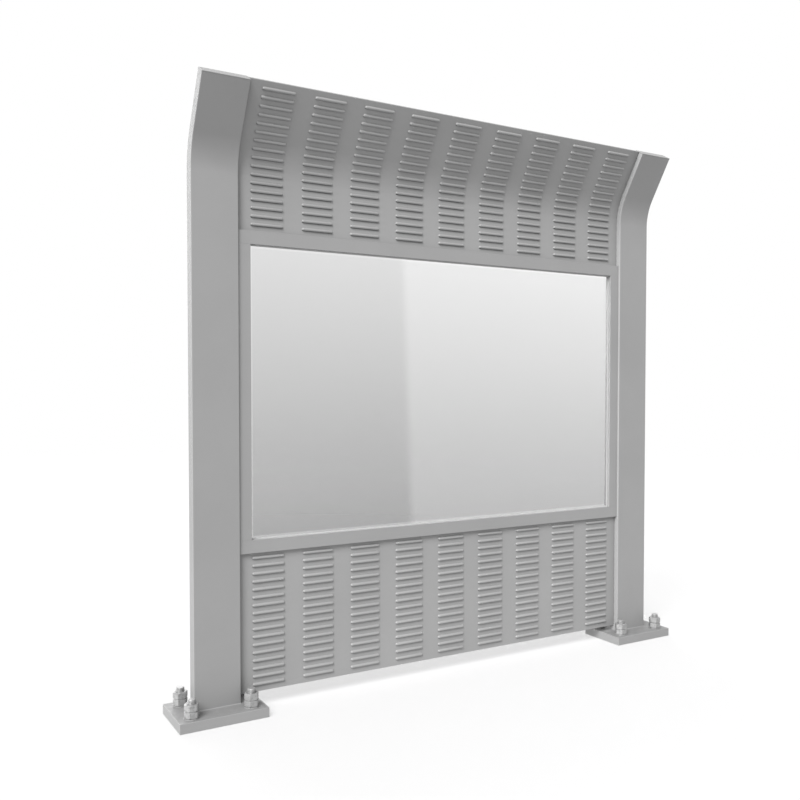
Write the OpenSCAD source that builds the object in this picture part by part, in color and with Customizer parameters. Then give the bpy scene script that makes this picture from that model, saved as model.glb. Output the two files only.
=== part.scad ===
// One bay of a roadside noise barrier: two leaning box posts on bolted base plates,
// a louvred panel below, a framed clear pane, and a louvred panel that bends with the posts.
// +X runs along the wall, +Y points away from the road, +Z is up.
// The origin is the centre of the left base plate's underside.

/* [Bay] */
// Distance between the two post centres
bay_pitch = 2000; // [1200:10:3000]

/* [Posts] */
// Width of a post along the wall
post_w = 170; // [120:1:240]
// Depth of a post across the wall
post_d = 48; // [42:1:90]
// Wall thickness of the box section
post_wall = 6; // [3:0.5:8]
// Height at which the posts start to bend, above the plate's underside
bend_z = 1920; // [1800:10:2600]
// Radius of the bend on the post's front face
bend_r = 235; // [150:5:500]
// Lean of the top from vertical, towards the road
lean = 31; // [5:1:45]
// Straight length of post beyond the bend
tip_len = 198; // [100:1:500]
// Thickness of the plate that closes the post's top
cap_t = 4; // [2:0.5:8]

/* [Base plates] */
// Size of a base plate along the wall
plate_w = 320; // [300:1:420]
// Size of a base plate across the wall
plate_d = 220; // [200:1:320]
// Thickness of a base plate
plate_t = 35; // [15:1:50]
// Spacing of the anchor bolts along the wall
bolt_dx = 216; // [200:1:260]
// Spacing of the anchor bolts across the wall
bolt_dy = 140; // [120:1:150]

/* [Anchor bolts] */
// Diameter of the anchor stud
stud_d = 30; // [20:1:30]
// Width across the flats of the nuts
nut_af = 46; // [30:1:46]
// Height of each nut
nut_h = 24; // [14:0.5:28]
// Diameter of the washer
washer_d = 54; // [40:1:56]
// Thickness of the washer
washer_t = 3; // [2:0.5:5]
// Length of stud above the upper nut
stud_out = 15; // [6:1:30]
// Gap between a stud and the nuts and washers on it
thread_gap = 0.2; // [0.1:0.05:0.5]
// Gap between a stud and its hole in the plate
hole_gap = 0.5; // [0.3:0.1:1.5]

/* [Louvred panels] */
// Height of the lower panel's bottom edge above the plate's underside
panel_z = 59; // [55:1:150]
// Depth of the panels' front sheet behind the posts' front face
sheet_inset = 23; // [12:1:24]
// Thickness of a panel over both sheets
panel_t = 14; // [8:1:16]
// Thickness of the sheets and edge channels
sheet_t = 1.5; // [0.8:0.1:2.5]
// Width of the edge channels' flanges
channel_w = 20; // [12:1:30]

/* [Window] */
// Height of the window frame's underside
frame_z = 570; // [400:1:800]
// Height of the window frame
frame_h = 1160; // [600:10:1200]
// Width of the frame's rails and stiles
frame_w = 48; // [42:1:70]
// Depth of the frame's section
frame_d = 32; // [31:1:38]
// Depth of the frame behind the posts' front face
frame_inset = 9; // [2:1:10]
// Wall thickness of the frame's section
frame_wall = 3; // [2:0.5:4]
// Thickness of the clear pane
pane_t = 10; // [6:1:11]
// Depth from the frame's front face to the pane
pane_inset = 16.5; // [12:0.5:17]
// How far the pane reaches into the frame's groove
pane_grip = 12; // [8:1:13]
// Thickness of the rubber gasket
gasket_t = 2; // [1:0.5:3]

/* [Rear fixing angles] */
// Leg width of the angles that hold the panels and the frame to the posts
angle_leg = 30; // [20:1:35]
// Thickness of the angles
angle_t = 4; // [3:0.5:5]
// Length of each angle
angle_len = 90; // [60:5:120]

/* [Hidden] */

round_fn = 96;
// flats that make up the bend
bend_steps = 16;
front_y = -post_d / 2;
// clear opening between the posts
bay_x = post_w / 2;
bay_w = bay_pitch - post_w;
// louvred panels
lower_h = frame_z - panel_z;
upper_z = frame_z + frame_h;
back_inset = sheet_inset + panel_t - sheet_t;
core_inset = sheet_inset + sheet_t;
core_t = panel_t - 2 * sheet_t;
// window frame
frame_y = front_y + frame_inset;
pane_y = frame_y + pane_inset;
groove_y = pane_inset - gasket_t;
groove_w = pane_t + 2 * gasket_t;
groove_d = pane_grip + gasket_t;
opening_w = bay_w - 2 * frame_w;
opening_h = frame_h - 2 * frame_w;
// anchor stack, from the plate's top face up
washer_z = plate_t;
lower_nut_z = washer_z + washer_t;
upper_nut_z = lower_nut_z + nut_h;
stud_len = upper_nut_z + nut_h + stud_out;
thread_chamfer = 2.5;
nut_chamfer = 30;

zinc = "gainsboro";
paint = "darkgray";

// Centre the children on one post
module at_post(side) {
  translate([side * bay_pitch, 0, 0]) children();
}

// Place the children at the four anchor bolts of one base plate
module at_bolts() {
  for (x = [-1, 1], y = [-1, 1])
    translate([x * bolt_dx / 2, y * bolt_dy / 2, 0]) children();
}

// Points of the posts' side view, at a depth behind the front face:
// along the bend by angle, and along the straight tip by length.
function bend_point(depth, angle) =
  [(bend_r + depth) * cos(angle) - bend_r, (bend_r + depth) * sin(angle)];
function tip_point(depth, along) =
  bend_point(depth, lean) + along * [-sin(lean), cos(lean)];
function side_line(depth, z0, cut) = concat(
  [[depth, z0 - bend_z]],
  [for (i = [0:bend_steps]) bend_point(depth, i * lean / bend_steps)],
  [tip_point(depth, tip_len - cut)]);
function reversed(points) = [for (i = [len(points) - 1:-1:0]) points[i]];

// Extrude a side view along the wall, from x0 over a width w
module along_wall(x0, w, points) {
  translate([x0, front_y, bend_z])
    rotate([90, 0, 90])
      linear_extrude(w)
        polygon(points);
}

// A strip that stands up, bends and leans with the posts' front face.
// d0 and d1 are its depths behind that face, z0 its lower edge,
// and cut shortens its upper end.
module leaning_strip(x0, w, d0, d1, z0, cut = 0) {
  along_wall(x0, w, concat(side_line(d0, z0, cut), reversed(side_line(d1, z0, cut))));
}

// A block on the straight tip, from t0 to t1 beyond the bend
module leaning_block(x0, w, d0, d1, t0, t1) {
  along_wall(x0, w, [tip_point(d0, t0), tip_point(d0, t1),
    tip_point(d1, t1), tip_point(d1, t0)]);
}

// Box-section post, open at both ends
module post(side) {
  color(paint)
    at_post(side)
      difference() {
        leaning_strip(-post_w / 2, post_w, 0, post_d, plate_t, cap_t);
        leaning_strip(post_wall - post_w / 2, post_w - 2 * post_wall,
          post_wall, post_d - post_wall, plate_t - 1, cap_t - 1);
      }
}

// Plate that closes the post's upper end
module post_cap(side) {
  color(paint)
    at_post(side)
      leaning_block(-post_w / 2, post_w, 0, post_d, tip_len - cap_t, tip_len);
}

module base_plate(side) {
  color(paint)
    at_post(side)
      difference() {
        translate([-plate_w / 2, -plate_d / 2, 0])
          cube([plate_w, plate_d, plate_t]);
        at_bolts()
          translate([0, 0, -1])
            cylinder(h = plate_t + 2, d = stud_d + 2 * hole_gap, $fn = round_fn);
      }
}

// Studs, from the plate's underside to just above the upper nuts
module anchor_studs(side) {
  color(zinc)
    at_post(side)
      at_bolts()
        rotate_extrude($fn = round_fn)
          polygon([[0, 0], [stud_d / 2, 0], [stud_d / 2, stud_len - thread_chamfer],
            [stud_d / 2 - thread_chamfer, stud_len], [0, stud_len]]);
}

module washers(side) {
  color(zinc)
    at_post(side)
      at_bolts()
        translate([0, 0, washer_z])
          difference() {
            cylinder(h = washer_t, d = washer_d, $fn = round_fn);
            translate([0, 0, -1])
              cylinder(h = washer_t + 2, d = stud_d + 2 * thread_gap, $fn = round_fn);
          }
}

// Hexagonal nut with both ends turned to a cone at its corners
module hex_nut() {
  corner_r = nut_af / 2 / cos(30);
  drop = (corner_r - nut_af / 2) * tan(nut_chamfer);
  difference() {
    intersection() {
      cylinder(h = nut_h, r = corner_r, $fn = 6);
      rotate_extrude($fn = round_fn)
        polygon([[0, 0], [nut_af / 2, 0], [corner_r, drop],
          [corner_r, nut_h - drop], [nut_af / 2, nut_h], [0, nut_h]]);
    }
    translate([0, 0, -1])
      cylinder(h = nut_h + 2, d = stud_d + 2 * thread_gap, $fn = round_fn);
  }
}

module nuts(side, z) {
  color(zinc)
    at_post(side)
      at_bolts()
        translate([0, 0, z]) hex_nut();
}

// Upright sheet of the lower panel
module lower_sheet(inset) {
  color(paint)
    translate([bay_x, front_y + inset, panel_z])
      cube([bay_w, sheet_t, lower_h]);
}

// Sheet of the upper panel, bent with the posts
module upper_sheet(inset) {
  color(paint)
    leaning_strip(bay_x, bay_w, inset, inset + sheet_t, upper_z);
}

module lower_core() {
  color("slategray")
    translate([bay_x + channel_w, front_y + core_inset, panel_z + channel_w])
      cube([bay_w - 2 * channel_w, core_t, lower_h - 2 * channel_w]);
}

module upper_core() {
  color("slategray")
    leaning_strip(bay_x + channel_w, bay_w - 2 * channel_w,
      core_inset, core_inset + core_t, upper_z + channel_w, channel_w);
}

// U-channel along X with its web on z = 0 and its flanges upwards
module flat_channel(w) {
  difference() {
    cube([w, core_t, channel_w]);
    translate([-1, sheet_t, sheet_t])
      cube([w + 2, core_t - 2 * sheet_t, channel_w]);
  }
}

module lower_edge_channel(top) {
  color(paint)
    translate([bay_x, front_y + core_inset, top ? frame_z : panel_z])
      mirror([0, 0, top ? 1 : 0])
        flat_channel(bay_w);
}

// End channel of the lower panel, between the bottom and top channels
module lower_end_channel(right) {
  color(paint)
    translate([right ? bay_x + bay_w : bay_x, front_y + core_inset, panel_z + channel_w])
      mirror([right ? 1 : 0, 0, 0])
        difference() {
          cube([channel_w, core_t, lower_h - 2 * channel_w]);
          translate([sheet_t, sheet_t, -1])
            cube([channel_w, core_t - 2 * sheet_t, lower_h]);
        }
}

module upper_bottom_channel() {
  color(paint)
    translate([bay_x, front_y + core_inset, upper_z])
      flat_channel(bay_w);
}

module upper_top_channel() {
  color(paint)
    difference() {
      leaning_block(bay_x, bay_w, core_inset, core_inset + core_t,
        tip_len - channel_w, tip_len);
      leaning_block(bay_x - 1, bay_w + 2, core_inset + sheet_t,
        core_inset + core_t - sheet_t, tip_len - channel_w - 1, tip_len - sheet_t);
    }
}

// End channel of the upper panel, bent with the posts
module upper_end_channel(right) {
  end_x = right ? bay_x + bay_w - channel_w : bay_x;
  hollow_x = right ? end_x - 1 : end_x + sheet_t;
  color(paint)
    difference() {
      leaning_strip(end_x, channel_w, core_inset, core_inset + core_t,
        upper_z + channel_w, channel_w);
      leaning_strip(hollow_x, channel_w - sheet_t + 1, core_inset + sheet_t,
        core_inset + core_t - sheet_t, upper_z + channel_w - 1, channel_w - 1);
    }
}

// Section of the window frame: x across the wall from the front face,
// y from the outer side to the glazing groove's mouth
module frame_section() {
  chamber_h = frame_w - groove_d - 2 * frame_wall;
  lip_w = groove_y - 2 * frame_wall;
  difference() {
    square([frame_d, frame_w]);
    translate([groove_y, frame_w - groove_d])
      square([groove_w, groove_d + 1]);
    translate([frame_wall, frame_wall])
      square([frame_d - 2 * frame_wall, chamber_h]);
    translate([frame_wall, frame_w - groove_d])
      square([lip_w, groove_d - frame_wall]);
  }
}

module frame_rail(top) {
  color(paint)
    translate([bay_x, frame_y, top ? upper_z : frame_z])
      mirror([0, 0, top ? 1 : 0])
        rotate([90, 0, 90])
          linear_extrude(bay_w)
            frame_section();
}

module frame_stile(right) {
  color(paint)
    translate([right ? bay_x + bay_w : bay_x, frame_y, frame_z + frame_w])
      mirror([right ? 0 : 1, 0, 0])
        rotate([0, 0, 90])
          linear_extrude(opening_h)
            frame_section();
}

// Clear pane, held in the frame's groove on all four sides
module clear_pane() {
  color("lightblue", 0.4)
    translate([bay_x + frame_w - pane_grip, pane_y, frame_z + frame_w - pane_grip])
      cube([opening_w + 2 * pane_grip, pane_t, opening_h + 2 * pane_grip]);
}

// Channel-shaped rubber ring that fills the groove around the pane's edge
module glazing_gasket() {
  color("dimgray")
    difference() {
      translate([bay_x + frame_w - groove_d, frame_y + groove_y, frame_z + frame_w - groove_d])
        cube([opening_w + 2 * groove_d, groove_w, opening_h + 2 * groove_d]);
      translate([bay_x + frame_w, frame_y, frame_z + frame_w])
        cube([opening_w, frame_d, opening_h]);
      clear_pane();
    }
}

// Steel angles in the rear corner between a post and what it carries.
// depth is the carried piece's rear face, behind the post's front face.
module rear_angles(right, depth, heights) {
  color(paint)
    for (z = heights)
      translate([right ? bay_x + bay_w : bay_x, front_y + depth, z - angle_len / 2])
        mirror([right ? 1 : 0, 0, 0]) {
          cube([angle_leg, angle_t, angle_len]);
          cube([angle_t, post_d - depth, angle_len]);
        }
}

// The same angle on the straight tip
module tip_angle(right) {
  depth = sheet_inset + panel_t;
  t0 = (tip_len - angle_len) / 2;
  leg_x = right ? bay_x + bay_w - angle_leg : bay_x;
  side_x = right ? bay_x + bay_w - angle_t : bay_x;
  color(paint) {
    leaning_block(leg_x, angle_leg, depth, depth + angle_t, t0, t0 + angle_len);
    leaning_block(side_x, angle_t, depth, post_d, t0, t0 + angle_len);
  }
}

module lower_angles(right) {
  rear_angles(right, sheet_inset + panel_t,
    [panel_z + lower_h / 5, frame_z - lower_h / 5]);
}

module frame_angles(right) {
  rear_angles(right, frame_inset + frame_d,
    [frame_z + frame_h / 5, upper_z - frame_h / 5]);
}

module upper_angles(right) {
  rear_angles(right, sheet_inset + panel_t, [(upper_z + bend_z) / 2]);
  tip_angle(right);
}

post(0);  // left_post
post(1);  // right_post
post_cap(0);  // left_post_cap
post_cap(1);  // right_post_cap
base_plate(0);  // left_base_plate
base_plate(1);  // right_base_plate
anchor_studs(0);  // left_anchor_studs
anchor_studs(1);  // right_anchor_studs
washers(0);  // left_washers
washers(1);  // right_washers
nuts(0, lower_nut_z);  // left_lower_nuts
nuts(1, lower_nut_z);  // right_lower_nuts
nuts(0, upper_nut_z);  // left_upper_nuts
nuts(1, upper_nut_z);  // right_upper_nuts
lower_sheet(sheet_inset);  // lower_front_sheet
lower_sheet(back_inset);  // lower_back_sheet
lower_core();
lower_edge_channel(false);  // lower_bottom_channel
lower_edge_channel(true);  // lower_top_channel
lower_end_channel(false);  // lower_left_channel
lower_end_channel(true);  // lower_right_channel
upper_sheet(sheet_inset);  // upper_front_sheet
upper_sheet(back_inset);  // upper_back_sheet
upper_core();
upper_bottom_channel();
upper_top_channel();
upper_end_channel(false);  // upper_left_channel
upper_end_channel(true);  // upper_right_channel
frame_rail(false);  // frame_bottom_rail
frame_rail(true);  // frame_top_rail
frame_stile(false);  // frame_left_stile
frame_stile(true);  // frame_right_stile
glazing_gasket();
clear_pane();
lower_angles(false);  // lower_left_angles
lower_angles(true);  // lower_right_angles
frame_angles(false);  // frame_left_angles
frame_angles(true);  // frame_right_angles
upper_angles(false);  // upper_left_angles
upper_angles(true);  // upper_right_angles
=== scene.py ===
import bpy
import bmesh
import math
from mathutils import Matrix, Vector


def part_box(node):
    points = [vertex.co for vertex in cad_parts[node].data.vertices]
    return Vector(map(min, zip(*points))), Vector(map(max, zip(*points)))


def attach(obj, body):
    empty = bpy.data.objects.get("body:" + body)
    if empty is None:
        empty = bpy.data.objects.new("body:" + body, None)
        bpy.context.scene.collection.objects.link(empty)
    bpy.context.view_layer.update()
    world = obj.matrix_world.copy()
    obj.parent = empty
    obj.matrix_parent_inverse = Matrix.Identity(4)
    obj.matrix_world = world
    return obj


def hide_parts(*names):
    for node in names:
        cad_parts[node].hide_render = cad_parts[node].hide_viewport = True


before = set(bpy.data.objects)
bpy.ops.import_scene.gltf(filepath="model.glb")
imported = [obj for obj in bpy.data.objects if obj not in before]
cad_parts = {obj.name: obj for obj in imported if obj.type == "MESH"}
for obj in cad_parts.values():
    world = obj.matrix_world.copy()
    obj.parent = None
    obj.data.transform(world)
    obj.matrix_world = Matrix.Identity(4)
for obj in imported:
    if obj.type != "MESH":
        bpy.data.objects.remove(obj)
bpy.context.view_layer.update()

print("frame loaded:", len(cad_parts), "CAD nodes")

# the bay's own sizes, in metres
postLow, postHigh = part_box("left_post")
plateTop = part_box("left_base_plate")[1].z
postWidth = postHigh.x - postLow.x
postFront = -0.024  # the posts' straight part runs from here 48 mm back
postDepth = 0.048
bayLeft, bayRight = postHigh.x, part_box("right_post")[0].x
postPitch = bayRight - postLow.x

# how the posts and the upper panel bend: measured on the posts' front face
lean = {"start": 1.920, "radius": 0.235, "angle": math.radians(31), "tip": 0.198, "steps": 32}


def alongPost(x, depth, along):
    # along is the length up the strip that lies at this depth behind the posts' front face
    if along <= lean["start"]:
        return Vector((x, postFront + depth, along))
    radius = lean["radius"] + depth
    angle = min((along - lean["start"]) / radius, lean["angle"])
    beyond = along - lean["start"] - angle * radius
    y = postFront - lean["radius"] + radius * math.cos(angle) - beyond * math.sin(angle)
    z = lean["start"] + radius * math.sin(angle) + beyond * math.cos(angle)
    return Vector((x, y, z))


def stripLength(depth):
    return lean["start"] + (lean["radius"] + depth) * lean["angle"] + lean["tip"]


# small tools
def hexColour(code):
    # sRGB hex to the linear colour that Blender's sockets take
    parts = [int(code[i:i + 2], 16) / 255 for i in (1, 3, 5)]
    return tuple(c / 12.92 if c <= 0.04045 else ((c + 0.055) / 1.055) ** 2.4 for c in parts) + (1.0,)


def addNode(tree, kind, values=None, links=None):
    # values go to the node's own settings or, where it has none of that name, to its sockets
    node = tree.nodes.new(kind)
    for key, value in (values or {}).items():
        if isinstance(key, str) and hasattr(node, key):
            setattr(node, key, value)
        else:
            node.inputs[key].default_value = value
    for key, source in (links or {}).items():
        tree.links.new(source, node.inputs[key])
    return node


def newObject(name, mesh):
    obj = bpy.data.objects.new(name, mesh)
    bpy.context.scene.collection.objects.link(obj)
    return obj


def meshFrom(name, verts, faces):
    mesh = bpy.data.meshes.new(name)
    mesh.from_pydata([tuple(v) for v in verts], [], faces)
    mesh.update()
    return mesh


def smoothBelow(mesh, degrees=32):
    mesh.polygons.foreach_set("use_smooth", [True] * len(mesh.polygons))
    mesh.set_sharp_from_angle(angle=math.radians(degrees))
    mesh.update()


def turnFacesOut(mesh):
    bm = bmesh.new()
    bm.from_mesh(mesh)
    bmesh.ops.recalc_face_normals(bm, faces=bm.faces)
    bm.to_mesh(mesh)
    bm.free()


def bakeShape(obj):
    # the evaluated shape becomes the object's plain mesh, and its modifiers go
    shaped = bpy.data.meshes.new_from_object(obj.evaluated_get(bpy.context.evaluated_depsgraph_get()))
    old = obj.data
    obj.modifiers.clear()
    obj.data = shaped
    if old.users == 0:
        bpy.data.meshes.remove(old)
    return obj


def flattenShading(obj, degrees=32):
    # smooth round the small radii, while the large flats keep their own direction
    smoothBelow(obj.data, degrees)
    weighted = obj.modifiers.new("weightedNormals", "WEIGHTED_NORMAL")
    weighted.keep_sharp = True
    weighted.weight = 90
    return bakeShape(obj)


def finishPiece(obj, material, nodes=()):
    obj.data.materials.clear()
    obj.data.materials.append(material)
    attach(obj, "root")
    if nodes:
        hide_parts(*nodes)
    return obj


def easedCopy(node, name, width, segments=2):
    # a copy of a CAD node with its edges eased as a press brake, mill or die leaves them
    obj = newObject(name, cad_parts[node].data.copy())
    bm = bmesh.new()
    bm.from_mesh(obj.data)
    bmesh.ops.remove_doubles(bm, verts=bm.verts, dist=0.00002)
    bmesh.ops.dissolve_limit(bm, angle_limit=math.radians(0.5), verts=bm.verts, edges=bm.edges)
    bm.to_mesh(obj.data)
    bm.free()
    for attribute in [a.name for a in obj.data.attributes if a.name == "sharp_edge"]:
        obj.data.attributes.remove(obj.data.attributes[attribute])
    bevel = obj.modifiers.new("easedEdges", "BEVEL")
    bevel.width = width
    bevel.segments = segments
    bevel.limit_method = "ANGLE"
    bevel.angle_limit = math.radians(30)
    bakeShape(obj)
    return flattenShading(obj)


# repeating parts
def gridTree():
    # repeats the modifier's own mesh on a grid of columns and rows
    tree = bpy.data.node_groups.new("repeatOnGrid", "GeometryNodeTree")
    face = tree.interface
    face.new_socket(name="Part", in_out="INPUT", socket_type="NodeSocketGeometry")
    for name, kind in (("Columns", "NodeSocketInt"), ("Rows", "NodeSocketInt"),
                       ("Column Pitch", "NodeSocketFloat"), ("Row Pitch", "NodeSocketFloat"),
                       ("Centre", "NodeSocketVector"), ("Material", "NodeSocketMaterial")):
        face.new_socket(name=name, in_out="INPUT", socket_type=kind)
    face.new_socket(name="Repeated", in_out="OUTPUT", socket_type="NodeSocketGeometry")
    given = tree.nodes.new("NodeGroupInput").outputs
    spans = []
    for count, pitch in (("Columns", "Column Pitch"), ("Rows", "Row Pitch")):
        gaps = addNode(tree, "ShaderNodeMath", {"operation": "SUBTRACT", 1: 1.0}, {0: given[count]})
        spans.append(addNode(tree, "ShaderNodeMath", {"operation": "MULTIPLY"},
                             {0: gaps.outputs[0], 1: given[pitch]}).outputs[0])
    grid = addNode(tree, "GeometryNodeMeshGrid", {},
                   {"Size X": spans[0], "Size Y": spans[1],
                    "Vertices X": given["Columns"], "Vertices Y": given["Rows"]})
    placed = addNode(tree, "GeometryNodeTransform", {},
                     {"Geometry": grid.outputs["Mesh"], "Translation": given["Centre"]})
    repeated = addNode(tree, "GeometryNodeInstanceOnPoints", {},
                       {"Points": placed.outputs["Geometry"], "Instance": given["Part"]})
    real = addNode(tree, "GeometryNodeRealizeInstances", {}, {0: repeated.outputs[0]})
    painted = addNode(tree, "GeometryNodeSetMaterial", {},
                      {"Geometry": real.outputs[0], "Material": given["Material"]})
    end = tree.nodes.new("NodeGroupOutput")
    tree.links.new(painted.outputs[0], end.inputs[0])
    return tree


def repeatOnGrid(name, mesh, columns, rows, columnPitch, rowPitch, centre, material):
    obj = newObject(name, mesh)
    repeat = obj.modifiers.new("repeat", "NODES")
    repeat.node_group = repeatTree
    wanted = {"Columns": columns, "Rows": rows, "Column Pitch": columnPitch,
              "Row Pitch": rowPitch, "Centre": centre, "Material": material}
    for item in repeatTree.interface.items_tree:
        if item.in_out == "INPUT" and item.name in wanted:
            repeat[item.identifier] = wanted[item.name]
    return bakeShape(obj)


repeatTree = gridTree()


# materials
def newMaterial(name):
    mat = bpy.data.materials.new(name)
    mat.use_nodes = True
    mat.node_tree.nodes.clear()
    return mat, mat.node_tree


def paintMaterial(name, colour, peelMm=2.5, roughness=0.52, bump=0.05, topShade=0.0):
    # Polyester powder coat: an even satin film with fine orange peel, slightly cloudy from
    # sheet to sheet. The 0.5 mm peel of the real film is drawn at peelMm, as it would not show.
    # The last argument paints the upward faces darker by that share, in patches: painted shade.
    mat, tree = newMaterial(name)
    place = addNode(tree, "ShaderNodeTexCoord").outputs["Object"]
    cloud = addNode(tree, "ShaderNodeTexNoise", {"Scale": 1 / 0.45, "Detail": 5.0, "Roughness": 0.55},
                    {"Vector": place})
    film = addNode(tree, "ShaderNodeTexNoise", {"Scale": 1 / 0.03, "Detail": 4.0, "Roughness": 0.6},
                   {"Vector": place})
    peel = addNode(tree, "ShaderNodeTexNoise", {"Scale": 1000 / peelMm, "Detail": 2.0}, {"Vector": place})
    base = hexColour(colour)
    low = tuple(c * 0.955 for c in base[:3]) + (1.0,)
    high = tuple(min(1.0, c * 1.045) for c in base[:3]) + (1.0,)
    tone = addNode(tree, "ShaderNodeValToRGB", {}, {"Fac": cloud.outputs["Fac"]})
    tone.color_ramp.elements[0].position, tone.color_ramp.elements[0].color = 0.3, low
    tone.color_ramp.elements[1].position, tone.color_ramp.elements[1].color = 0.7, high
    rough = addNode(tree, "ShaderNodeMapRange",
                    {"From Min": 0.25, "From Max": 0.75, "To Min": roughness - 0.05,
                     "To Max": roughness + 0.06}, {"Value": film.outputs["Fac"]})
    relief = addNode(tree, "ShaderNodeBump", {"Strength": bump, "Distance": 0.0006},
                     {"Height": peel.outputs["Fac"]})
    shown = tone.outputs["Color"]
    # painted shade: faces that look up are darkened in patches
    if topShade:
        normal = addNode(tree, "ShaderNodeTexCoord").outputs["Normal"]
        facing = addNode(tree, "ShaderNodeSeparateXYZ", {}, {0: normal})
        upwardShade = addNode(tree, "ShaderNodeMapRange", {"From Min": 0.85, "From Max": 0.98, "To Max": topShade},
                          {"Value": facing.outputs["Z"]})
        patches = addNode(tree, "ShaderNodeMapRange",
                          {"From Min": 0.3, "From Max": 0.7, "To Min": 0.7, "To Max": 1.3},
                          {"Value": film.outputs["Fac"]})
        patchyShade = addNode(tree, "ShaderNodeMath", {"operation": "MULTIPLY"},
                         {0: upwardShade.outputs["Result"], 1: patches.outputs["Result"]})
        shown = addNode(tree, "ShaderNodeMix", {"data_type": "RGBA", 7: hexColour("#1c1b1a")},
                        {0: patchyShade.outputs[0], 6: shown}).outputs[2]
    shader = addNode(tree, "ShaderNodeBsdfPrincipled", {"IOR": 1.5},
                     {"Base Color": shown, "Roughness": rough.outputs["Result"],
                      "Normal": relief.outputs["Normal"]})
    addNode(tree, "ShaderNodeOutputMaterial", {}, {"Surface": shader.outputs[0]})
    return mat


def galvanisedMaterial():
    # Hot-dip galvanised fasteners: dull zinc with a fine grey spangle and no clear reflections
    mat, tree = newMaterial("hotDipGalvanisedSteel")
    place = addNode(tree, "ShaderNodeTexCoord").outputs["Object"]
    spangle = addNode(tree, "ShaderNodeTexVoronoi", {"Scale": 1 / 0.006}, {"Vector": place})
    dull = addNode(tree, "ShaderNodeTexNoise", {"Scale": 1 / 0.012, "Detail": 6.0}, {"Vector": place})
    mixed = addNode(tree, "ShaderNodeMath", {"operation": "MULTIPLY_ADD", 1: 0.4},
                    {0: spangle.outputs["Distance"], 2: dull.outputs["Fac"]})
    tone = addNode(tree, "ShaderNodeValToRGB", {}, {"Fac": mixed.outputs[0]})
    tone.color_ramp.elements[0].position, tone.color_ramp.elements[0].color = 0.3, hexColour("#6a6a6a")
    tone.color_ramp.elements[1].position, tone.color_ramp.elements[1].color = 0.8, hexColour("#888888")
    rough = addNode(tree, "ShaderNodeMapRange", {"To Min": 0.34, "To Max": 0.52},
                    {"Value": dull.outputs["Fac"]})
    relief = addNode(tree, "ShaderNodeBump", {"Strength": 0.12, "Distance": 0.0004},
                     {"Height": dull.outputs["Fac"]})
    shader = addNode(tree, "ShaderNodeBsdfPrincipled", {"Metallic": 0.3},
                     {"Base Color": tone.outputs["Color"], "Roughness": rough.outputs["Result"],
                      "Normal": relief.outputs["Normal"]})
    addNode(tree, "ShaderNodeOutputMaterial", {}, {"Surface": shader.outputs[0]})
    return mat


# painted shade: the pane's grey tint is darker towards the bottom and lighter towards the top
paneShade = {"from": 0.60, "to": 1.70, "drift": 0.04, "cleanFrom": -0.025, "cleanTo": -0.022,
            "cleanShare": 0.2}


def acrylicMaterial():
    # Cast acrylic sheet, polished and faintly grey: clear, with a grey tint painted darker near the bottom rail
    # and lighter towards the top, a painted shade
    mat, tree = newMaterial("castAcrylicSheet")
    place = addNode(tree, "ShaderNodeTexCoord").outputs["Object"]
    height = addNode(tree, "ShaderNodeSeparateXYZ", {}, {0: place}).outputs["Z"]
    paneNoise = addNode(tree, "ShaderNodeTexNoise", {"Scale": 1 / 0.35, "Detail": 4.0}, {"Vector": place})
    drift = addNode(tree, "ShaderNodeMath", {"operation": "MULTIPLY_ADD", 1: paneShade["drift"]},
                    {0: paneNoise.outputs["Fac"], 2: height})
    film = addNode(tree, "ShaderNodeMapRange",
                   {"From Min": paneShade["from"], "From Max": paneShade["to"]},
                   {"Value": drift.outputs[0]})
    tone = addNode(tree, "ShaderNodeValToRGB", {}, {"Fac": film.outputs["Result"]})
    tone.color_ramp.elements[0].color = hexColour("#a0a0a0")
    tone.color_ramp.elements[1].color = hexColour("#dfdfdf")
    tone.color_ramp.elements.new(0.5).color = hexColour("#c3c3c3")
    # the tint is painted lighter in a thin band along the gasket: a painted highlight round the pane's edge
    low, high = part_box("clear_pane")
    fromMiddle = addNode(tree, "ShaderNodeVectorMath", {"operation": "SUBTRACT", 1: (low + high) / 2},
                         {0: place})
    halfway = addNode(tree, "ShaderNodeVectorMath", {"operation": "ABSOLUTE"}, {0: fromMiddle.outputs[0]})
    fromEdge = addNode(tree, "ShaderNodeVectorMath", {"operation": "SUBTRACT", 1: (high - low) / 2},
                       {0: halfway.outputs[0]})
    sides = addNode(tree, "ShaderNodeSeparateXYZ", {}, {0: fromEdge.outputs[0]})
    nearest = addNode(tree, "ShaderNodeMath", {"operation": "MAXIMUM"},
                      {0: sides.outputs["X"], 1: sides.outputs["Z"]})
    # painted highlight: the band within a few centimetres of the pane's edge is mixed towards white
    paintedEdgeHighlight = addNode(tree, "ShaderNodeMapRange",
                    {"interpolation_type": "SMOOTHSTEP", "From Min": paneShade["cleanFrom"],
                     "From Max": paneShade["cleanTo"], "To Max": paneShade["cleanShare"]},
                    {"Value": nearest.outputs[0]})
    tint = addNode(tree, "ShaderNodeMix", {"data_type": "RGBA", 7: (1.0, 1.0, 1.0, 1.0)},
                   {0: paintedEdgeHighlight.outputs["Result"], 6: tone.outputs["Color"]})
    rough = addNode(tree, "ShaderNodeMapRange",
                    {"From Min": 0.3, "From Max": 0.7, "To Min": 0.02, "To Max": 0.05},
                    {"Value": paneNoise.outputs["Fac"]})
    wave = addNode(tree, "ShaderNodeTexNoise", {"Scale": 1 / 0.6, "Detail": 1.0}, {"Vector": place})
    relief = addNode(tree, "ShaderNodeBump", {"Strength": 0.05, "Distance": 0.001},
                     {"Height": wave.outputs["Fac"]})
    shader = addNode(tree, "ShaderNodeBsdfPrincipled", {"IOR": 1.49, "Transmission Weight": 1.0},
                     {"Base Color": tint.outputs[2], "Roughness": rough.outputs["Result"],
                      "Normal": relief.outputs["Normal"]})
    addNode(tree, "ShaderNodeOutputMaterial", {}, {"Surface": shader.outputs[0]})
    return mat


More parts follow.
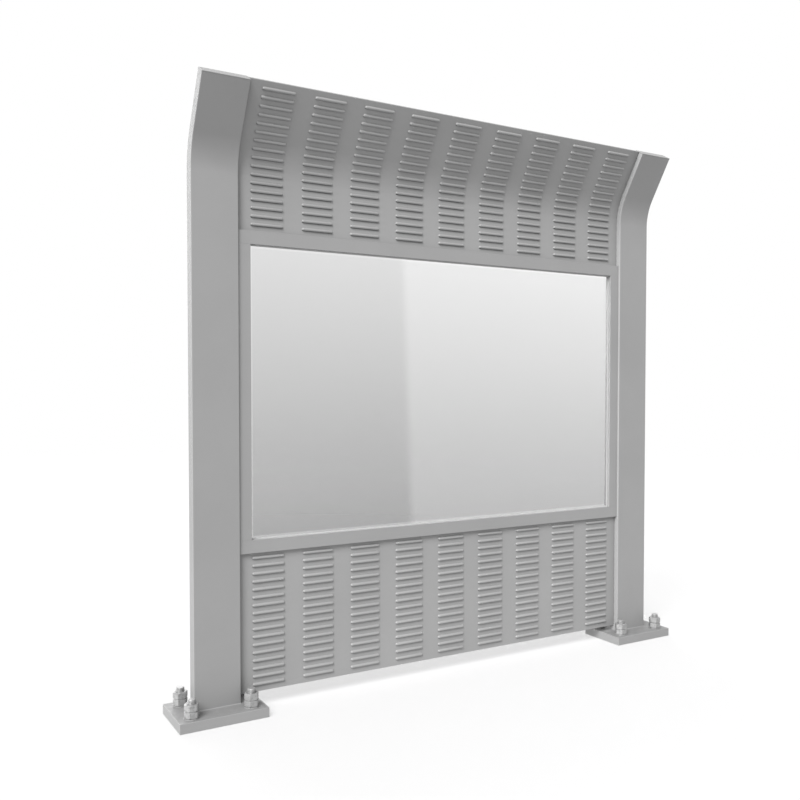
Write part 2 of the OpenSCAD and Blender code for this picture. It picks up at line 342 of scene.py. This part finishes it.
def rubberMaterial():
    # Extruded glazing gasket: matt pale grey rubber with a cloudy bloom
    mat, tree = newMaterial("extrudedGreyGlazingRubber")
    place = addNode(tree, "ShaderNodeTexCoord").outputs["Object"]
    bloom = addNode(tree, "ShaderNodeTexNoise", {"Scale": 1 / 0.02, "Detail": 4.0}, {"Vector": place})
    tone = addNode(tree, "ShaderNodeValToRGB", {}, {"Fac": bloom.outputs["Fac"]})
    tone.color_ramp.elements[0].color = hexColour("#8e8e8e")
    tone.color_ramp.elements[1].color = hexColour("#9a9a9a")
    shader = addNode(tree, "ShaderNodeBsdfPrincipled", {"Roughness": 0.7},
                     {"Base Color": tone.outputs["Color"]})
    addNode(tree, "ShaderNodeOutputMaterial", {}, {"Surface": shader.outputs[0]})
    return mat


def fleeceMaterial():
    # Pressed mineral fibre under a glass fleece: dark, matt and fibrous
    mat, tree = newMaterial("fleeceFacedAbsorber")
    place = addNode(tree, "ShaderNodeTexCoord").outputs["Object"]
    fibre = addNode(tree, "ShaderNodeTexNoise", {"Scale": 1 / 0.003, "Detail": 6.0, "Roughness": 0.7},
                    {"Vector": place})
    tone = addNode(tree, "ShaderNodeValToRGB", {}, {"Fac": fibre.outputs["Fac"]})
    tone.color_ramp.elements[0].color = hexColour("#4a4b4c")
    tone.color_ramp.elements[1].color = hexColour("#6a6b6c")
    relief = addNode(tree, "ShaderNodeBump", {"Strength": 0.4, "Distance": 0.0005},
                     {"Height": fibre.outputs["Fac"]})
    shader = addNode(tree, "ShaderNodeBsdfPrincipled", {"Roughness": 0.95},
                     {"Base Color": tone.outputs["Color"], "Normal": relief.outputs["Normal"]})
    addNode(tree, "ShaderNodeOutputMaterial", {}, {"Surface": shader.outputs[0]})
    return mat


def floorMaterial(colour, fadeFrom, fadeTo, clearness):
    # Painted studio floor, matt and even, with the faint cloudiness of a rolled coat. It is half
    # clear, so that shadows stay faint, and far out it fades into the white surroundings.
    mat, tree = newMaterial("rolledStudioFloorPaint")
    place = addNode(tree, "ShaderNodeTexCoord").outputs["Object"]
    cloud = addNode(tree, "ShaderNodeTexNoise", {"Scale": 1 / 1.5, "Detail": 3.0}, {"Vector": place})
    tone = addNode(tree, "ShaderNodeValToRGB", {}, {"Fac": cloud.outputs["Fac"]})
    base = hexColour(colour)
    tone.color_ramp.elements[0].color = tuple(c * 0.98 for c in base[:3]) + (1.0,)
    tone.color_ramp.elements[1].color = tuple(c * 1.02 for c in base[:3]) + (1.0,)
    shader = addNode(tree, "ShaderNodeBsdfPrincipled", {"Roughness": 0.9},
                     {"Base Color": tone.outputs["Color"]})
    distance = addNode(tree, "ShaderNodeVectorMath", {"operation": "LENGTH"}, {0: place})
    fade = addNode(tree, "ShaderNodeMapRange",
                   {"interpolation_type": "SMOOTHSTEP", "From Min": fadeFrom, "From Max": fadeTo,
                    "To Min": clearness}, {"Value": distance.outputs["Value"]})
    clear = addNode(tree, "ShaderNodeBsdfTransparent")
    mixed = addNode(tree, "ShaderNodeMixShader", {},
                    {0: fade.outputs["Result"], 1: shader.outputs[0], 2: clear.outputs[0]})
    addNode(tree, "ShaderNodeOutputMaterial", {}, {"Surface": mixed.outputs[0]})
    return mat


postPaint = paintMaterial("powderCoatedPostSteel", "#777777")
# the plates' upward faces get painted shade
platePaint = paintMaterial("powderCoatedPlateSteel", "#777777", peelMm=3.5, roughness=0.55, bump=0.1,
                           topShade=0.18)
panelPaint = paintMaterial("powderCoatedPressedSheet", "#7c7c7c", peelMm=2.0)
framePaint = paintMaterial("powderCoatedExtrusion", "#797979", peelMm=1.5, roughness=0.5)
zinc = galvanisedMaterial()
acrylic = acrylicMaterial()
rubber = rubberMaterial()
fleece = fleeceMaterial()
print("materials made")


# posts
post = {"corner": 0.002, "cornerSteps": 3, "capThickness": 0.004, "capEase": 0.0008}
plateEdge = 0.003


def roundedSection(width, depth, radius, steps):
    points = []
    for cx, cy, start in ((width / 2 - radius, radius, -90), (width / 2 - radius, depth - radius, 0),
                          (radius - width / 2, depth - radius, 90), (radius - width / 2, radius, 180)):
        for i in range(steps + 1):
            angle = math.radians(start + 90 * i / steps)
            points.append((cx + radius * math.cos(angle), cy + radius * math.sin(angle)))
    return points


def makePost(name, node, centreX):
    # stations run up the straight, round the bend and to the underside of the cap
    section = roundedSection(postWidth, postDepth, post["corner"], post["cornerSteps"])
    rings = []

    def ringAt(place):
        rings.append([place(centreX + x, depth) for x, depth in section])

    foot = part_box(node)[0].z
    for z in (foot, lean["start"] / 2, lean["start"]):
        ringAt(lambda x, d, z=z: Vector((x, postFront + d, z)))
    for i in range(1, lean["steps"] + 1):
        angle = lean["angle"] * i / lean["steps"]
        ringAt(lambda x, d, a=angle: alongPost(x, d, lean["start"] + (lean["radius"] + d) * a))
    ringAt(lambda x, d: alongPost(x, d, stripLength(d) - post["capThickness"]))
    verts = [p for ring in rings for p in ring]
    n = len(section)
    faces = [(r * n + i, r * n + (i + 1) % n, (r + 1) * n + (i + 1) % n, (r + 1) * n + i)
             for r in range(len(rings) - 1) for i in range(n)]
    faces.append(tuple(reversed(range(n))))
    faces.append(tuple(range((len(rings) - 1) * n, len(rings) * n)))
    obj = flattenShading(newObject(name, meshFrom(name, verts, faces)))
    return finishPiece(obj, postPaint, [node])


for side, centreX in (("left", 0.0), ("right", postPitch)):
    makePost(side + "PostShell", side + "_post", centreX)
    cap = easedCopy(side + "_post_cap", side + "PostCap", post["capEase"])
    finishPiece(cap, postPaint, [side + "_post_cap"])
    plate = easedCopy(side + "_base_plate", side + "BasePlate", plateEdge, segments=1)
    finishPiece(plate, platePaint, [side + "_base_plate"])
print("posts and plates made")


# weld beads at the posts' feet
weld = {"leg": 0.0028, "ripple": 0.0003, "rippleLength": 0.005, "step": 0.0025, "cornerSteps": 4,
        "root": 0.001, "shoulder": 0.0006, "toe": 0.0003, "fullness": 0.82}


def makeFootWeld(name, centreX):
    section = roundedSection(postWidth, postDepth, post["corner"], weld["cornerSteps"])
    corners = [Vector((centreX + x, postFront + d, 0)) for x, d in section]
    path = []
    for a, b in zip(corners, corners[1:] + corners[:1]):
        count = max(1, round((b - a).length / weld["step"]))
        path += [a + (b - a) * i / count for i in range(count)]
    up, leg, root = Vector((0, 0, 1)), weld["leg"], weld["root"]
    rings, length = [], 0.0
    for i, here in enumerate(path):
        ahead, behind = path[(i + 1) % len(path)], path[i - 1]
        out = (ahead - behind).cross(up).normalized()
        bulge = weld["ripple"] * math.sin(2 * math.pi * length / weld["rippleLength"])
        reach = leg * weld["fullness"] + bulge
        ring = [here - out * root + up * leg, here + out * weld["shoulder"] + up * leg]
        for angle in (math.radians(75), math.radians(45), math.radians(15)):
            ring.append(here + out * reach * math.cos(angle) + up * reach * math.sin(angle))
        ring += [here + out * leg + up * weld["toe"], here + out * leg - up * root,
                 here - out * root - up * root]
        rings.append([p + up * plateTop for p in ring])
        length += (ahead - here).length
    n = len(rings[0])
    verts = [p for ring in rings for p in ring]
    total = len(rings)
    faces = [(r * n + i, r * n + (i + 1) % n, ((r + 1) % total) * n + (i + 1) % n, ((r + 1) % total) * n + i)
             for r in range(total) for i in range(n)]
    obj = newObject(name, meshFrom(name, verts, faces))
    turnFacesOut(obj.data)
    smoothBelow(obj.data, 50)
    return finishPiece(obj, platePaint)


makeFootWeld("leftFootWeld", 0.0)
makeFootWeld("rightFootWeld", postPitch)


# anchor bolts
bolt = {"acrossFlats": 0.046, "nutHeight": 0.024, "radius": 0.015, "threadPitch": 0.0035,
        "threadDepth": 0.0019, "washerRadius": 0.027, "washerHeight": 0.003,
        "spacingX": 0.216, "spacingY": 0.140, "steps": 48, "washerEase": 0.0004,
        "boreGap": 0.0002, "boreEase": 0.0015, "coneFrom": 0.93, "threadSteps": 36,
        "ringsPerTurn": 8, "crestFlat": 1.25, "crestSlope": 3.2, "endChamfer": 0.003,
        "chamferSlope": 0.9}


def turnedShape(rings, steps):
    # rings are functions of the angle that give radius and height, from one end to the other
    verts, faces = [], []
    for ring in rings:
        for i in range(steps):
            angle = 2 * math.pi * i / steps
            r, z = ring(angle)
            verts.append((r * math.cos(angle), r * math.sin(angle), z))
    for k in range(len(rings) - 1):
        for i in range(steps):
            j = (i + 1) % steps
            faces.append((k * steps + i, k * steps + j, (k + 1) * steps + j, (k + 1) * steps + i))
    return verts, faces


def closeBore(faces, rings, steps):
    # the last ring joins the first one, as the wall of the bore
    last = (len(rings) - 1) * steps
    faces += [(last + i, last + (i + 1) % steps, (i + 1) % steps, i) for i in range(steps)]


def fixedRing(r, z):
    return lambda angle: (r, z)


def hexRadius(angle):
    turn = (angle + math.pi / 6) % (math.pi / 3) - math.pi / 6
    return bolt["acrossFlats"] / 2 / math.cos(math.pi / 6 - abs(turn))


def nutMesh(z0):
    # hexagon with a corner on +X; both faces turned to a 30 degree cone at the corners
    cone = bolt["acrossFlats"] / 2 * bolt["coneFrom"]
    height, bore, ease = bolt["nutHeight"], bolt["radius"] + bolt["boreGap"], bolt["boreEase"]

    def wall(bottom):
        def ring(angle):
            r = hexRadius(angle)
            drop = (r - cone) * math.tan(math.radians(30))
            return r, z0 + (drop if bottom else height - drop)
        return ring

    rings = [fixedRing(bore, z0), fixedRing(cone, z0), wall(True), wall(False),
             fixedRing(cone, z0 + height), fixedRing(bore + ease, z0 + height),
             fixedRing(bore, z0 + height - ease)]
    verts, faces = turnedShape(rings, bolt["steps"])
    closeBore(faces, rings, bolt["steps"])
    mesh = meshFrom("nut", verts, faces)
    smoothBelow(mesh, 22)
    return mesh


def washerMesh(z0):
    radius, height, ease = bolt["washerRadius"], bolt["washerHeight"], bolt["washerEase"]
    bore = bolt["radius"] + bolt["boreGap"]
    rings = [fixedRing(bore, z0), fixedRing(radius - ease, z0), fixedRing(radius, z0 + ease),
             fixedRing(radius, z0 + height - ease), fixedRing(radius - ease, z0 + height),
             fixedRing(bore, z0 + height)]
    verts, faces = turnedShape(rings, bolt["steps"])
    closeBore(faces, rings, bolt["steps"])
    mesh = meshFrom("washer", verts, faces)
    smoothBelow(mesh)
    return mesh


def studMesh(top, threadFrom):
    # plain shank up to the nuts, then a real helix, and a chamfered end
    radius, depth, pitch = bolt["radius"], bolt["threadDepth"], bolt["threadPitch"]
    core = radius - depth

    def threadRing(z):
        def ring(angle):
            phase = ((z - threadFrom) / pitch - angle / (2 * math.pi)) % 1.0
            crest = max(0.0, min(1.0, bolt["crestFlat"] - abs(phase - 0.5) * bolt["crestSlope"]))
            limit = radius - max(0.0, z - (top - bolt["endChamfer"])) * bolt["chamferSlope"]
            return min(core + depth * crest, limit), z
        return ring

    rings = [fixedRing(0.0001, 0.0), fixedRing(radius, 0.0), fixedRing(radius, threadFrom)]
    count = round((top - threadFrom) / pitch * bolt["ringsPerTurn"])
    rings += [threadRing(threadFrom + (top - threadFrom) * i / count) for i in range(count + 1)]
    rings.append(fixedRing(0.0001, top))
    verts, faces = turnedShape(rings, bolt["threadSteps"])
    mesh = meshFrom("stud", verts, faces)
    bm = bmesh.new()
    bm.from_mesh(mesh)
    bmesh.ops.remove_doubles(bm, verts=bm.verts, dist=0.00015)
    bm.to_mesh(mesh)
    bm.free()
    smoothBelow(mesh, 40)
    return mesh


washerZ = plateTop
lowerNutZ = washerZ + bolt["washerHeight"]
upperNutZ = lowerNutZ + bolt["nutHeight"]
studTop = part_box("left_anchor_studs")[1].z
for side, centreX in (("left", 0.0), ("right", postPitch)):
    for name, node, mesh in (("Washers", "_washers", washerMesh(washerZ)),
                             ("LowerNuts", "_lower_nuts", nutMesh(lowerNutZ)),
                             ("UpperNuts", "_upper_nuts", nutMesh(upperNutZ)),
                             ("AnchorStuds", "_anchor_studs",
                              studMesh(studTop, upperNutZ + bolt["nutHeight"] - 0.004))):
        obj = repeatOnGrid(side + name, mesh, 2, 2, bolt["spacingX"], bolt["spacingY"],
                           (centreX, 0, 0), zinc)
        finishPiece(obj, zinc, [side + node])
print("anchor bolts made")


# louvred sheets
louvre = {"length": 0.126, "height": 0.0128, "proud": 0.0072, "columns": 9, "rows": 17,
          "columnPitch": 0.200, "lowerPitch": 0.029, "upperPitch": 0.0298,
          "lowerFirst": 0.086, "upperFirst": 1.755, "endSteps": 6,
          "rings": (1.0, 0.80, 0.60, 0.33), "openRings": 1, "openAngle": -25, "edgeTurn": 0.004,
          "foldSteps": 3, "sheet": 0.0014}


def louvreTile(rowPitch):
    # one pressed hood in its piece of sheet: along the wall on X, up the sheet on Y, outwards on Z.
    # The hood is half round, with round ends, and is cut open along its lower side.
    halfL, halfH = louvre["length"] / 2 - louvre["height"] / 2, louvre["height"] / 2
    halfW, halfP = louvre["columnPitch"] / 2, rowPitch / 2
    outline = []
    for end in (1, -1):
        for i in range(louvre["endSteps"] + 1):
            angle = 90 - 180 * i / louvre["endSteps"] if end > 0 else -90 - 180 * i / louvre["endSteps"]
            outline.append((end * halfL, math.cos(math.radians(angle)), math.sin(math.radians(angle))))
    n = len(outline)
    verts, faces = [], []
    for ring in louvre["rings"]:
        rise = louvre["proud"] * math.sqrt(max(0.0, 1 - ring * ring))
        verts += [(cx + dx * halfH * ring, dy * halfH * ring, rise) for cx, dx, dy in outline]
    crest = len(verts)
    verts += [(halfL, 0, louvre["proud"]), (-halfL, 0, louvre["proud"])]

    def isOpen(i):
        # the segment from outline point i to i + 1 belongs to the cut lower side
        j = (i + 1) % n
        middle = (outline[i][2] + outline[j][2]) / 2
        return middle < math.sin(math.radians(louvre["openAngle"]))

    for k in range(len(louvre["rings"]) - 1):
        for i in range(n):
            if k >= louvre["openRings"] or not isOpen(i):
                j = (i + 1) % n
                faces.append((k * n + i, k * n + j, (k + 1) * n + j, (k + 1) * n + i))
    inner = (len(louvre["rings"]) - 1) * n
    half = louvre["endSteps"]
    for i in range(half):
        faces.append((inner + i, inner + i + 1, crest))
        faces.append((inner + half + 1 + i, inner + half + 2 + i, crest + 1))
    faces.append((inner + half, inner + half + 1, crest + 1, crest))
    faces.append((inner + n - 1, inner, crest, crest + 1))
    # the flat of the sheet round the hood
    border = len(verts)
    side = [halfP, halfP / 2, 0, -halfP / 2, -halfP]
    verts += [(halfW, y, 0) for y in side] + [(-halfW, y, 0) for y in reversed(side)]
    verts += [(halfL, halfP, 0), (halfL, -halfP, 0), (-halfL, -halfP, 0), (-halfL, halfP, 0)]
    topRight, lowRight, lowLeft, topLeft = range(border + 10, border + 14)
    for base, corner, top, low in ((0, border, topRight, lowRight), (half + 1, border + 5, lowLeft, topLeft)):
        faces.append((base, top, corner, corner + 1))
        faces.append((base, corner + 1, base + 1))
        faces.append((base + 1, corner + 1, corner + 2, base + 2))
        faces.append((base + 2, corner + 2, base + 3))
        faces.append((base + 3, corner + 2, base + 4))
        faces.append((base + 4, corner + 2, corner + 3, base + 5))
        faces.append((base + 5, corner + 3, base + 6))
        faces.append((base + 6, corner + 3, corner + 4, low))
    faces.append((n - 1, topLeft, topRight, 0))
    faces.append((half, lowRight, lowLeft, half + 1))
    mesh = meshFrom("louvreTile", verts, faces)
    bm = bmesh.new()
    bm.from_mesh(mesh)
    bmesh.ops.recalc_face_normals(bm, faces=bm.faces)
    if sum(f.normal.z * f.calc_area() for f in bm.faces) < 0:
        bmesh.ops.reverse_faces(bm, faces=bm.faces)
    bm.to_mesh(mesh)
    bm.free()
    return mesh


def wrapToWall(mesh, depth, back=False):
    # from the flat pattern (along, up, outwards) to the wall, round the bend where there is one.
    # On the back the pattern is seen from behind, so it runs the other way along the wall.
    for vertex in mesh.vertices:
        u, v, h = vertex.co
        flat = alongPost(bayLeft + bayRight - u if back else u, depth, v)
        angle = max(0.0, min((v - lean["start"]) / (lean["radius"] + depth), lean["angle"]))
        out = h if back else -h
        vertex.co = flat + out * Vector((0, math.cos(angle), math.sin(angle)))
    mesh.update()


def makeLouvredSheet(name, node, firstRow, rowPitch, bottom, top, depth):
    columns, rows = louvre["columns"], louvre["rows"]
    centre = ((bayLeft + bayRight) / 2, firstRow + (rows - 1) * rowPitch / 2, 0)
    obj = repeatOnGrid(name, louvreTile(rowPitch), columns, rows, louvre["columnPitch"], rowPitch,
                       centre, panelPaint)
    bm = bmesh.new()
    bm.from_mesh(obj.data)
    bmesh.ops.remove_doubles(bm, verts=bm.verts, dist=0.00005)
    # the outer flats reach on to the sheet's own edges
    reachX = columns * louvre["columnPitch"] / 2 - 0.0005
    reachY = rows * rowPitch / 2 - 0.0005
    turn = louvre["edgeTurn"]
    for vertex in bm.verts:
        if abs(vertex.co.x - centre[0]) > reachX:
            vertex.co.x = bayRight - turn if vertex.co.x > centre[0] else bayLeft + turn
        if abs(vertex.co.y - centre[1]) > reachY:
            vertex.co.y = top if vertex.co.y > centre[1] else bottom
    # the two sides are folded back round a small radius
    for step in range(louvre["foldSteps"]):
        for way, edgeX in ((1, bayRight), (-1, bayLeft)):
            outer = max((way * v.co.x for v in bm.verts))
            edges = [e for e in bm.edges
                     if e.is_boundary and all(way * v.co.x > outer - 0.0001 for v in e.verts)]
            grown = bmesh.ops.extrude_edge_only(bm, edges=edges)["geom"]
            angle = math.radians(90 * (step + 1) / louvre["foldSteps"])
            for vertex in grown:
                if isinstance(vertex, bmesh.types.BMVert):
                    vertex.co.x = edgeX - way * turn * (1 - math.sin(angle)) - way * 0.0002
                    vertex.co.z = -turn * (1 - math.cos(angle))
    bm.to_mesh(obj.data)
    bm.free()
    wrapToWall(obj.data, depth)
    solid = obj.modifiers.new("sheetThickness", "SOLIDIFY")
    solid.thickness = louvre["sheet"]
    solid.offset = -1
    bakeShape(obj)
    smoothBelow(obj.data, 35)
    return finishPiece(obj, panelPaint, [node])


lowerLow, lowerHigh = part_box("lower_front_sheet")
sheetDepth = lowerLow.y - postFront
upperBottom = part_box("upper_front_sheet")[0].z
makeLouvredSheet("lowerLouvredSheet", "lower_front_sheet", louvre["lowerFirst"], louvre["lowerPitch"],
                 lowerLow.z, lowerHigh.z, sheetDepth)
makeLouvredSheet("upperLouvredSheet", "upper_front_sheet", louvre["upperFirst"], louvre["upperPitch"],
                 upperBottom, stripLength(sheetDepth), sheetDepth)
print("louvred sheets made")


# frame, pane and rear pieces
glazedFrame = {"railEase": 0.0006, "paneEase": 0.0008}
for node, name in (("frame_bottom_rail", "frameBottomRail"), ("frame_top_rail", "frameTopRail"),
                   ("frame_left_stile", "frameLeftStile"), ("frame_right_stile", "frameRightStile")):
    finishPiece(easedCopy(node, name, glazedFrame["railEase"]), framePaint, [node])

sheet = easedCopy("clear_pane", "clearPane", glazedFrame["paneEase"])
clearPane = finishPiece(sheet, acrylic, ["clear_pane"])
clearPane.visible_shadow = False  # a clear sheet lets the lamps' light through

gasket = {"lip": 0.0045, "mouth": 0.014, "wall": 0.002, "edge": 0.0003, "bead": 0.0008, "beadDepth": 0.003}


def makeGasket():
    # one channel round the pane's edge, its front leg ending in a thin lip that lies on the pane
    # and its rear leg in a bead along the frame's inner face;
    # the profile is drawn inwards from the channel's back and swept round four mitred corners
    low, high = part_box("glazing_gasket")
    front, behind, wall = low.y, high.y, gasket["wall"]
    mouth, tip, edge, bead = gasket["mouth"], gasket["mouth"] + gasket["lip"], gasket["edge"], gasket["bead"]
    beadEnd = behind + gasket["beadDepth"]
    profile = [(0, front), (mouth, front), (tip, front + wall - edge), (tip, front + wall),
               (wall, front + wall), (wall, behind - wall), (mouth + bead, behind - wall),
               (mouth + bead, beadEnd), (mouth, beadEnd), (mouth, behind), (0, behind)]
    n = len(profile)
    verts = []
    for sideX, sideZ in ((0, 0), (1, 0), (1, 1), (0, 1)):
        for inset, y in profile:
            x = high.x - inset if sideX else low.x + inset
            z = high.z - inset if sideZ else low.z + inset
            verts.append((x, y, z))
    faces = [(k * n + i, ((k + 1) % 4) * n + i, ((k + 1) % 4) * n + (i + 1) % n, k * n + (i + 1) % n)
             for k in range(4) for i in range(n)]
    obj = newObject("glazingGasket", meshFrom("glazingGasket", verts, faces))
    turnFacesOut(obj.data)
    return finishPiece(obj, rubber, ["glazing_gasket"])


makeGasket()
# the nodes that keep their shape
for node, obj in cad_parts.items():
    if "channel" in node or node in ("lower_back_sheet", "lower_core", "upper_core"):
        obj.data.materials.clear()
        obj.data.materials.append(fleece if "core" in node else panelPaint)

rear = {"sheet": 0.0015, "sheetEase": 0.0005, "rivetColumns": 12, "rivetPitch": 0.150, "rivetMargin": 0.010,
        "rivetRadius": 0.0045, "rivetHeight": 0.0016, "screwFlats": 0.010, "screwHeight": 0.004,
        "screwFlange": 0.0078, "screwGap": 0.050, "screwInset": 0.018,
        "bendSteps": 90, "rivetSteps": 14, "screwSteps": 24}


def makeUpperBackSheet():
    # one smooth bent sheet: made flat, its edges eased, then wrapped
    depth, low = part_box("lower_back_sheet")[1].y - postFront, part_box("upper_back_sheet")[0].z
    top, steps = stripLength(depth), rear["bendSteps"]
    verts = [(x, low + (top - low) * i / steps, 0) for i in range(steps + 1) for x in (bayLeft, bayRight)]
    faces = [(2 * i, 2 * i + 1, 2 * i + 3, 2 * i + 2) for i in range(steps)]
    obj = newObject("upperBackSheet", meshFrom("upperBackSheet", verts, faces))
    solid = obj.modifiers.new("sheetThickness", "SOLIDIFY")
    solid.thickness = rear["sheet"]
    solid.offset = -1
    ease = obj.modifiers.new("easedEdges", "BEVEL")
    ease.width = rear["sheetEase"]
    ease.segments = 2
    ease.angle_limit = math.radians(30)
    bakeShape(obj)
    wrapToWall(obj.data, depth, back=True)
    return finishPiece(flattenShading(obj), panelPaint, ["upper_back_sheet"])


def rivetMesh():
    # domed head with the small well that the mandrel leaves
    r, h = rear["rivetRadius"], rear["rivetHeight"]
    rings = [fixedRing(r, -0.0003), fixedRing(r, h * 0.25), fixedRing(r * 0.82, h * 0.75),
             fixedRing(r * 0.5, h), fixedRing(r * 0.3, h), fixedRing(r * 0.24, h * 0.6),
             fixedRing(0.00002, h * 0.6)]
    verts, faces = turnedShape(rings, rear["rivetSteps"])
    mesh = meshFrom("rivet", verts, faces)
    smoothBelow(mesh, 50)
    return mesh


def screwMesh():
    # flanged hexagon head, its top edge turned to a cone
    flat, height, flange = rear["screwFlats"] / 2, rear["screwHeight"], rear["screwFlange"]

    def hexRing(z, shrink):
        def ring(angle):
            turn = angle % (math.pi / 3)
            return min(flat / math.cos(turn - math.pi / 6), flat * shrink), z
        return ring

    rings = [fixedRing(flange, -0.0003), fixedRing(flange, 0.0008), fixedRing(flat * 1.1, 0.0015),
             hexRing(0.0015, 1.16), hexRing(height - 0.0006, 1.16), hexRing(height, 1.0),
             fixedRing(0.00002, height)]
    verts, faces = turnedShape(rings, rear["screwSteps"])
    mesh = meshFrom("screw", verts, faces)
    smoothBelow(mesh, 30)
    return mesh


def placeOnBack(name, mesh, columns, rows, columnPitch, rowPitch, middle, depth, material):
    obj = repeatOnGrid(name, mesh, columns, rows, columnPitch, rowPitch,
                       ((bayLeft + bayRight) / 2, middle, 0), material)
    wrapToWall(obj.data, depth, back=True)
    return finishPiece(obj, material)


makeUpperBackSheet()
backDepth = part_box("lower_back_sheet")[1].y - postFront
for name, low, high in (("lowerBackRivets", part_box("lower_back_sheet")[0].z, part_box("lower_back_sheet")[1].z),
                        ("upperBackRivets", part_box("upper_back_sheet")[0].z, stripLength(backDepth))):
    placeOnBack(name, rivetMesh(), rear["rivetColumns"], 2, rear["rivetPitch"],
                high - low - 2 * rear["rivetMargin"], (low + high) / 2, backDepth, zinc)

bracket = {"thickness": 0.004, "length": 0.090, "ease": 0.0008}
acrossBay = bayRight - bayLeft - 2 * rear["screwInset"]
angleSpots = []
for panel in ("lower", "frame", "upper"):
    for side in ("left", "right"):
        node = panel + "_" + side + "_angles"
        angles = easedCopy(node, panel + side.capitalize() + "Angles", bracket["ease"])
        finishPiece(angles, panelPaint, [node])
    low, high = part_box(panel + "_left_angles")
    carrier = "frame_left_stile" if panel == "frame" else "lower_back_sheet"
    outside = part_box(carrier)[1].y - postFront + bracket["thickness"]
    angleSpots.append((panel + "LowAngleScrews", low.z + bracket["length"] / 2, outside))
    if panel != "upper":
        angleSpots.append((panel + "HighAngleScrews", high.z - bracket["length"] / 2, outside))
    else:
        angleSpots.append(("tipAngleScrews", stripLength(outside) - lean["tip"] / 2, outside))
for name, middle, depth in angleSpots:
    placeOnBack(name, screwMesh(), 2, 2, acrossBay, rear["screwGap"], middle, depth, zinc)
print("window and rear pieces made")


# floor, light and camera
stage = {"floor": "#b0b0b0", "half": 30.0, "height": -0.0005, "fadeFrom": 3.0, "fadeTo": 14.0,
         "clearness": 0.55}
reach, height = stage["half"], stage["height"]
floor = newObject("floor", meshFrom("floor", [(-reach, -reach, height), (reach, -reach, height),
                                              (reach, reach, height), (-reach, reach, height)],
                                    [(0, 1, 2, 3)]))
floor.data.materials.append(floorMaterial(stage["floor"], stage["fadeFrom"], stage["fadeTo"],
                                          stage["clearness"]))

world = bpy.data.worlds.new("studio")
world.use_nodes = True
world.node_tree.nodes["Background"].inputs["Color"].default_value = (1, 1, 1, 1)
world.node_tree.nodes["Background"].inputs["Strength"].default_value = 1.0
bpy.context.scene.world = world

# large, far softboxes: high in front, low at the left side and behind, and a narrow one that
# only reaches the right post; the card on the right shows in the pane, with a soft, leaning edge
keyLight = {"strength": 5.4, "softness": 30, "turn": 50, "height": 44.5}
sideLight = {"strength": 2.1, "softness": 20, "turn": 84, "height": 5}
backLight = {"strength": 1.4, "softness": 40, "turn": 182, "height": 20}
edgeLight = {"strength": 2.0, "softness": 8, "turn": 87, "height": 4}
card = {"glow": 3.5, "left": 2.40, "right": 5.2, "lean": 0.10, "top": 2.6, "behind": -2.9, "softEdge": 0.10}


def onlyFor(lamp, obj):
    # the lamp lights this one object and no other
    lit = bpy.data.collections.new("litBy" + lamp.name.capitalize())
    lit.objects.link(obj)
    lamp.light_linking.receiver_collection = lit


def addSoftSun(name, light):
    sun = bpy.data.lights.new(name, "SUN")
    sun.energy = light["strength"]
    sun.angle = math.radians(light["softness"])
    obj = bpy.data.objects.new(name, sun)
    turn, height = math.radians(light["turn"]), math.radians(light["height"])
    level = math.cos(height)
    towards = Vector((math.sin(turn) * level, math.cos(turn) * level, -math.sin(height)))
    obj.rotation_euler = towards.to_track_quat("-Z", "Y").to_euler()
    obj.location = -towards * 6
    bpy.context.scene.collection.objects.link(obj)
    return obj


def addCard():
    y = card["behind"]
    obj = newObject("reflectionCard", meshFrom("reflectionCard", [
        (card["left"] + card["lean"], y, 0.0), (card["right"], y, 0.0),
        (card["right"], y, card["top"]), (card["left"], y, card["top"])], [(0, 1, 2, 3)]))
    mat, tree = newMaterial("softboxFabric")
    coordinates = addNode(tree, "ShaderNodeTexCoord").outputs["Object"]
    place = addNode(tree, "ShaderNodeSeparateXYZ", {}, {0: coordinates})
    slant = addNode(tree, "ShaderNodeMath", {"operation": "MULTIPLY_ADD", 1: card["lean"] / card["top"]},
                    {0: place.outputs["Z"], 2: place.outputs["X"]})
    edge = card["left"] + card["lean"]
    ramp = addNode(tree, "ShaderNodeMapRange",
                   {"interpolation_type": "SMOOTHSTEP", "From Min": edge,
                    "From Max": edge + card["softEdge"]}, {"Value": slant.outputs[0]})
    glow = addNode(tree, "ShaderNodeEmission", {"Strength": card["glow"]})
    clear = addNode(tree, "ShaderNodeBsdfTransparent")
    mixed = addNode(tree, "ShaderNodeMixShader", {},
                    {0: ramp.outputs["Result"], 1: clear.outputs[0], 2: glow.outputs[0]})
    addNode(tree, "ShaderNodeOutputMaterial", {}, {"Surface": mixed.outputs[0]})
    obj.data.materials.append(mat)
    obj.visible_camera = obj.visible_diffuse = obj.visible_transmission = obj.visible_shadow = False
    onlyFor(obj, clearPane)


addSoftSun("keyLight", keyLight)
addSoftSun("sideLight", sideLight)
addSoftSun("backLight", backLight)
onlyFor(addSoftSun("edgeLight", edgeLight), bpy.data.objects["rightPostShell"])
addCard()

view = {"lens": 38.5, "from": (-0.944, -2.942, 1.167), "turn": 30.06, "tilt": -1.64, "rise": 0.0157}
cameraData = bpy.data.cameras.new("camera")
cameraData.lens = view["lens"]
cameraData.sensor_width = 36.0
cameraData.shift_y = view["rise"]
camera = bpy.data.objects.new("camera", cameraData)
camera.location = view["from"]
camera.rotation_euler = (math.radians(90 + view["tilt"]), 0, math.radians(-view["turn"]))
bpy.context.scene.collection.objects.link(camera)
bpy.context.scene.camera = camera
bpy.context.scene.view_settings.view_transform = "Standard"
print("stage made")
